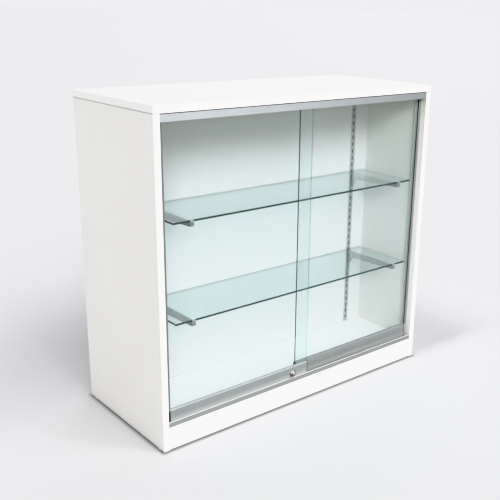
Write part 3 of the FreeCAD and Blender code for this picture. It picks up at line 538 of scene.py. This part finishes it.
TRACK_DEEP = (0.465, 0.497, 0.510)
TRACK = drawn_metal(
    "anodised_track",
    (0.530, 0.565, 0.580),
    TRACK_DEEP,
    0.40,
    "x",
    0.55,
    touches=((painted_light_across, scaled(TRACK_DEEP, 0.62)), (top_seam, TOP_JOINT - 0.0026)),
)
ALUMINIUM = drawn_metal(
    "anodised_aluminium",
    (0.273, 0.298, 0.297),
    (0.224, 0.248, 0.247),
    0.42,
    "x",
    0.45,
    touches=((painted_lower_light,), (painted_gutter_light,), (lip_highlight_and_band,)),
)
JAMB_DEEP = (0.140, 0.148, 0.146)
JAMB = drawn_metal(
    "anodised_jamb",
    (0.170, 0.179, 0.176),
    JAMB_DEEP,
    0.45,
    "z",
    0.3,
    touches=((painted_light_across, scaled(JAMB_DEEP, 1.55)), (painted_lane_light,)),
)
STANDARD = drawn_metal(
    "satin_standard",
    (0.43, 0.435, 0.42),
    (0.36, 0.365, 0.35),
    0.42,
    "z",
    0.35,
    touches=((shaded_behind, BACK_FACE + 0.0012),),
)
BRACKET = drawn_metal(
    "satin_bracket", (0.27, 0.275, 0.268), (0.21, 0.215, 0.208), 0.40, "y", 0.6, lines=1200.0
)

ZINC = plated_metal("zinc_plate", (0.62, 0.64, 0.66), 0.24, 0.14)
CHROME = plated_metal("bright_chrome", (0.60, 0.595, 0.58), 0.07, 0.06, underside_shade=0.97)
NICKEL = plated_metal("nickelled_brass", (0.70, 0.675, 0.62), 0.16, 0.10, underside_shade=0.6)

LINER = moulded("track_liner", (0.20, 0.22, 0.23), (0.15, 0.16, 0.17), 0.75, 1500.0, 0.0002)
RUBBER = moulded("grey_rubber", (0.70, 0.72, 0.715), (0.62, 0.64, 0.635), 0.55, 900.0, 0.00005)
GASKET = moulded("pale_gasket", (0.40, 0.43, 0.43), (0.34, 0.37, 0.37), 0.5, 900.0, 0.00005)
# The rear door's gasket is painted darker than the front one's: painted shade, as it sits deeper.
DEEP_SHADED_GASKET = moulded("shaded_rear_gasket", (0.25, 0.27, 0.27), (0.21, 0.23, 0.23), 0.5, 900.0, 0.00005)
BLACK = moulded("black_plastic", (0.025, 0.026, 0.028), (0.018, 0.019, 0.020), 0.42)
NYLON = moulded("natural_nylon", (0.78, 0.76, 0.69), (0.72, 0.69, 0.61), 0.38, 500.0, 0.00005, 0.25)
GLIDE = moulded("white_plastic", (0.80, 0.80, 0.78), (0.70, 0.69, 0.66), 0.45)
SOFT_CLEAR = moulded(
    "soft_clear", (0.40, 0.43, 0.42), (0.34, 0.37, 0.36), 0.22, 400.0, 0.00003, 0.3
)
BEECH = wood("beech", (0.68, 0.49, 0.30), (0.56, 0.37, 0.20), (0.40, 0.24, 0.12))

DOOR_GREENS = ((0.003, 0.022, 0.018), (0.008, 0.042, 0.036))
SHELF_GREENS = ((0.002, 0.020, 0.016), (0.006, 0.042, 0.035))
DOOR_FACE = pane_face("door_glass_face", (0.937, 0.965, 0.963))
FRONT_EDGE = pane_edge("front_door_glass_edge", *DOOR_GREENS, 0.82, (0.86, 0.93, 0.92))
REAR_EDGE = pane_edge("rear_door_glass_edge", *DOOR_GREENS, 0.30, (0.86, 0.93, 0.92))
SHELF_FACE = pane_face("shelf_glass_face", (0.898, 0.945, 0.940))
SHELF_EDGE = pane_edge("shelf_glass_edge", *SHELF_GREENS, 0.90, (0.88, 0.94, 0.93))


# Materials of the CAD nodes that are shown as they are

NODE_MATERIALS = {
    TOP: "top_panel",
    LAMINATE: "left_side_panel right_side_panel rear_plinth",
    SHELF_BOARD: "lower_storage_shelf upper_storage_shelf",
    DECK: "deck_panel",
    INNER: "display_back_panel",
    PLINTH: "front_plinth",
    EDGE: "top_edge_banding side_edge_banding",
    TRACK: "upper_track",
    ALUMINIUM: "lower_track front_door_shoe rear_door_shoe",
    JAMB: "left_jamb_channel right_jamb_channel",
    STANDARD: "left_slotted_standard right_slotted_standard",
    BRACKET: "upper_left_bracket upper_right_bracket lower_left_bracket lower_right_bracket",
    ZINC: "storage_shelf_pins connector_cams connector_rods back_panel_screws track_screws "
    "standard_screws front_door_axles rear_door_axles lock_nut lock_keeper keeper_screws",
    CHROME: "lock_housing lock_plunger",
    NICKEL: "key_plug",
    LINER: "upper_track_liners",
    RUBBER: "jamb_bumpers",
    GASKET: "front_door_gasket",
    DEEP_SHADED_GASKET: "rear_door_gasket",
    BLACK: "front_door_end_caps rear_door_end_caps",
    NYLON: "front_door_roller_carriers rear_door_roller_carriers front_left_roller "
    "front_right_roller rear_left_roller rear_right_roller",
    GLIDE: "floor_glides",
    SOFT_CLEAR: "bracket_pads bracket_tip_caps",
    BEECH: "plinth_blocks wood_dowels",
}

for material, names in NODE_MATERIALS.items():
    for name in names.split():
        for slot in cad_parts[name].material_slots:
            slot.material = material


def show_mesh(name, work, *materials):
    mesh = bpy.data.meshes.new(name)
    work.to_mesh(mesh)
    work.free()
    for material in materials:
        mesh.materials.append(material)
    piece = bpy.data.objects.new(name, mesh)
    scene.collection.objects.link(piece)
    return piece


# Glass panes, rebuilt with ground edges of their own material

PANE_ARRIS = 0.0003
FLAT_FACE = 0.99


def make_pane(node, body, thin_axis, face_material, edge_material):
    low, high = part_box(node)
    work = bmesh.new()
    bmesh.ops.create_cube(work, size=1.0)
    for vertex in work.verts:
        for axis in range(3):
            vertex.co[axis] = high[axis] if vertex.co[axis] > 0 else low[axis]
    bmesh.ops.bevel(
        work,
        geom=work.edges[:],
        offset=PANE_ARRIS,
        segments=2,
        profile=0.7,
        affect="EDGES",
        clamp_overlap=True,
    )
    bmesh.ops.recalc_face_normals(work, faces=work.faces)
    for face in work.faces:
        face.material_index = 0 if abs(face.normal[thin_axis]) > FLAT_FACE else 1
        face.smooth = face.material_index == 1
    pane = show_mesh(node + "_pane", work, face_material, edge_material)
    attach(pane, body)
    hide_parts(node)


make_pane("front_door_glass", "front_door", 1, DOOR_FACE, FRONT_EDGE)
make_pane("rear_door_glass", "rear_door", 1, DOOR_FACE, REAR_EDGE)
make_pane("upper_glass_shelf", "cabinet", 2, SHELF_FACE, SHELF_EDGE)
make_pane("lower_glass_shelf", "cabinet", 2, SHELF_FACE, SHELF_EDGE)


# Coil spring of the lock, built at one length; in the lock it shortens as the plunger is pushed in

SPRING_WIRE = 0.0003
SPRING_TURNS = 4
TURN_STEPS = 28
WIRE_SIDES = 8


def make_spring():
    low, high = (Vector(corner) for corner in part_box("lock_spring"))
    centre = (low + high) / 2
    coil = (high.x - low.x) / 2 - SPRING_WIRE
    start = low.y + SPRING_WIRE
    length = high.y - low.y - 2 * SPRING_WIRE
    pitch = length / (2 * math.pi * coil * SPRING_TURNS)
    steps = SPRING_TURNS * TURN_STEPS
    work = bmesh.new()
    rings = []
    for step in range(steps + 1):
        turn = 2 * math.pi * step / TURN_STEPS
        outward = Vector((math.cos(turn), 0, math.sin(turn)))
        forward = Vector((-math.sin(turn), pitch, math.cos(turn)))
        side = outward.cross(forward.normalized())
        middle = Vector((centre.x, start + length * step / steps, centre.z)) + coil * outward
        ring = []
        for corner in range(WIRE_SIDES):
            angle = 2 * math.pi * corner / WIRE_SIDES
            from_middle = math.cos(angle) * outward + math.sin(angle) * side
            ring.append(work.verts.new(middle + SPRING_WIRE * from_middle))
        rings.append(ring)
    for first, second in zip(rings, rings[1:]):
        for corner in range(WIRE_SIDES):
            after = (corner + 1) % WIRE_SIDES
            work.faces.new((first[corner], first[after], second[after], second[corner]))
    work.faces.new(rings[0])
    work.faces.new(rings[-1])
    bmesh.ops.recalc_face_normals(work, faces=work.faces)
    for face in work.faces:
        face.smooth = len(face.verts) == 4
    spring = show_mesh("lock_spring_coil", work, ZINC)
    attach(spring, "front_door")
    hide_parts("lock_spring")
    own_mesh(spring)


make_spring()


# Studio floor. Each range says from where to where its shades come or go.

FLOOR_HALF_SIZE = 150.0
FLOOR_TONES = ((0.690, 0.690, 0.710), (0.700, 0.700, 0.721))
FOOT_HALF_WIDTH = 0.540
FOOT_HALF_DEPTH = 0.2275
VEIL_REACH = (0.0, 0.050)
LINE_REACH = (0.002, 0.015)
LEFT_SHARE_ACROSS = (-0.560, -0.535)
RIGHT_SHADE_COMES = (0.50, 0.56)
RIGHT_SHADE_GOES = (0.74, 1.24)
RIGHT_SHADE_FRONT = (-0.290, -0.190)
RIGHT_SHADE_REAR = (0.10, 0.70)


def base_shades(g):
    # Shade and dust gather along the counter's base: a faint veil, and a fine line close to it.
    gaps = []
    for axis, half in (("X", FOOT_HALF_WIDTH), ("Y", FOOT_HALF_DEPTH)):
        off = g.math("SUBTRACT", g.math("ABSOLUTE", g.at(axis)), half)
        gap = g.math("MAXIMUM", off, 0.0)
        gaps.append(g.product(gap, gap))
    reach = g.math("SQRT", g.math("ADD", *gaps))
    veil = g.between(reach, *VEIL_REACH, 0.15, 0.0)
    line = g.between(reach, *LINE_REACH, 0.64, 0.0)
    # There is less of both on the left, which the counter's shadow reaches anyway.
    share = g.between(g.at("X"), *LEFT_SHARE_ACROSS, 0.40, 1.0)
    return g.product(veil, share), g.product(line, share)


def right_shade(g):
    # A broad soft shade lies right of the counter.
    right = g.between(g.at("X"), *RIGHT_SHADE_COMES, 0.0, 0.38, "SMOOTHSTEP")
    fading = g.between(g.at("X"), *RIGHT_SHADE_GOES, 1.0, 0.0, "SMOOTHSTEP")
    front = g.between(g.at("Y"), *RIGHT_SHADE_FRONT, 0.0, 1.0, "SMOOTHSTEP")
    rear = g.between(g.at("Y"), *RIGHT_SHADE_REAR, 1.0, 0.0, "SMOOTHSTEP")
    return g.product(right, fading, g.product(front, rear))


def make_floor():
    material, g = new_graph("studio_floor")
    colour = g.colours(g.noise(1.5, 3.0), *FLOOR_TONES)
    for shade in (*base_shades(g), right_shade(g)):
        colour = g.colours(shade, colour, SHADE)
    g.principled(Base_Color=colour, Roughness=0.65, Specular_IOR_Level=0.3)
    half = FLOOR_HALF_SIZE
    corners = ((-half, -half, 0), (half, -half, 0), (half, half, 0), (-half, half, 0))
    work = bmesh.new()
    work.faces.new([work.verts.new(corner) for corner in corners])
    floor = show_mesh("studio_floor", work, material)


# Studio light

# Colour, strength, direction towards the light, and how narrow the lobe is
LOBES = (
    ((1.00, 0.99, 0.97), 45.0, (-0.6, -1.0, 0.57), 90.0),
    ((1.00, 1.00, 1.00), 4.2, (0.0, -1.0, 0.66), 90.0),
    ((1.00, 1.00, 1.00), 9.4, (0.0, -1.0, 0.85), 40.0),
    ((1.00, 1.00, 1.00), 11.8, (0.6, -0.7, 1.0), 40.0),
    ((1.00, 1.00, 1.02), 2.6, (1.0, 0.8, 0.6), 8.0),
)
BACKDROP = (1.038, 1.038, 1.066)


def make_world():
    # Broad soft lobes of light, each a cosine power round its direction
    world = bpy.data.worlds.new("studio")
    scene.world = world
    world.use_nodes = True
    g = Graph(world.node_tree, "OutputWorld")
    around = g.add("TexCoord").outputs["Generated"]
    total = None
    for colour, strength, direction, power in LOBES:
        dot = g.add("VectorMath", {"operation": "DOT_PRODUCT"})
        g.feed(dot.inputs[0], around)
        g.feed(dot.inputs[1], Vector(direction).normalized())
        lobe = g.math("POWER", g.math("MAXIMUM", dot.outputs["Value"], 0.0), power)
        light = g.add("Background", Color=colour, Strength=g.product(lobe, strength))
        if total is None:
            total = light
        else:
            both = g.add("AddShader")
            g.feed(both.inputs[0], total.outputs[0])
            g.feed(both.inputs[1], light.outputs[0])
            total = both
    # Seen directly, the studio is a plain pale backdrop.
    backdrop = g.add("Background", Color=BACKDROP)
    g.show(g.mixed(g.add("LightPath").outputs["Is Camera Ray"], total, backdrop))


make_floor()
make_world()
scene.view_settings.view_transform = "Khronos PBR Neutral"
scene.cycles.transparent_max_bounces = 32
scene.cycles.max_bounces = 16
scene.cycles.diffuse_bounces = 8
scene.cycles.glossy_bounces = 8
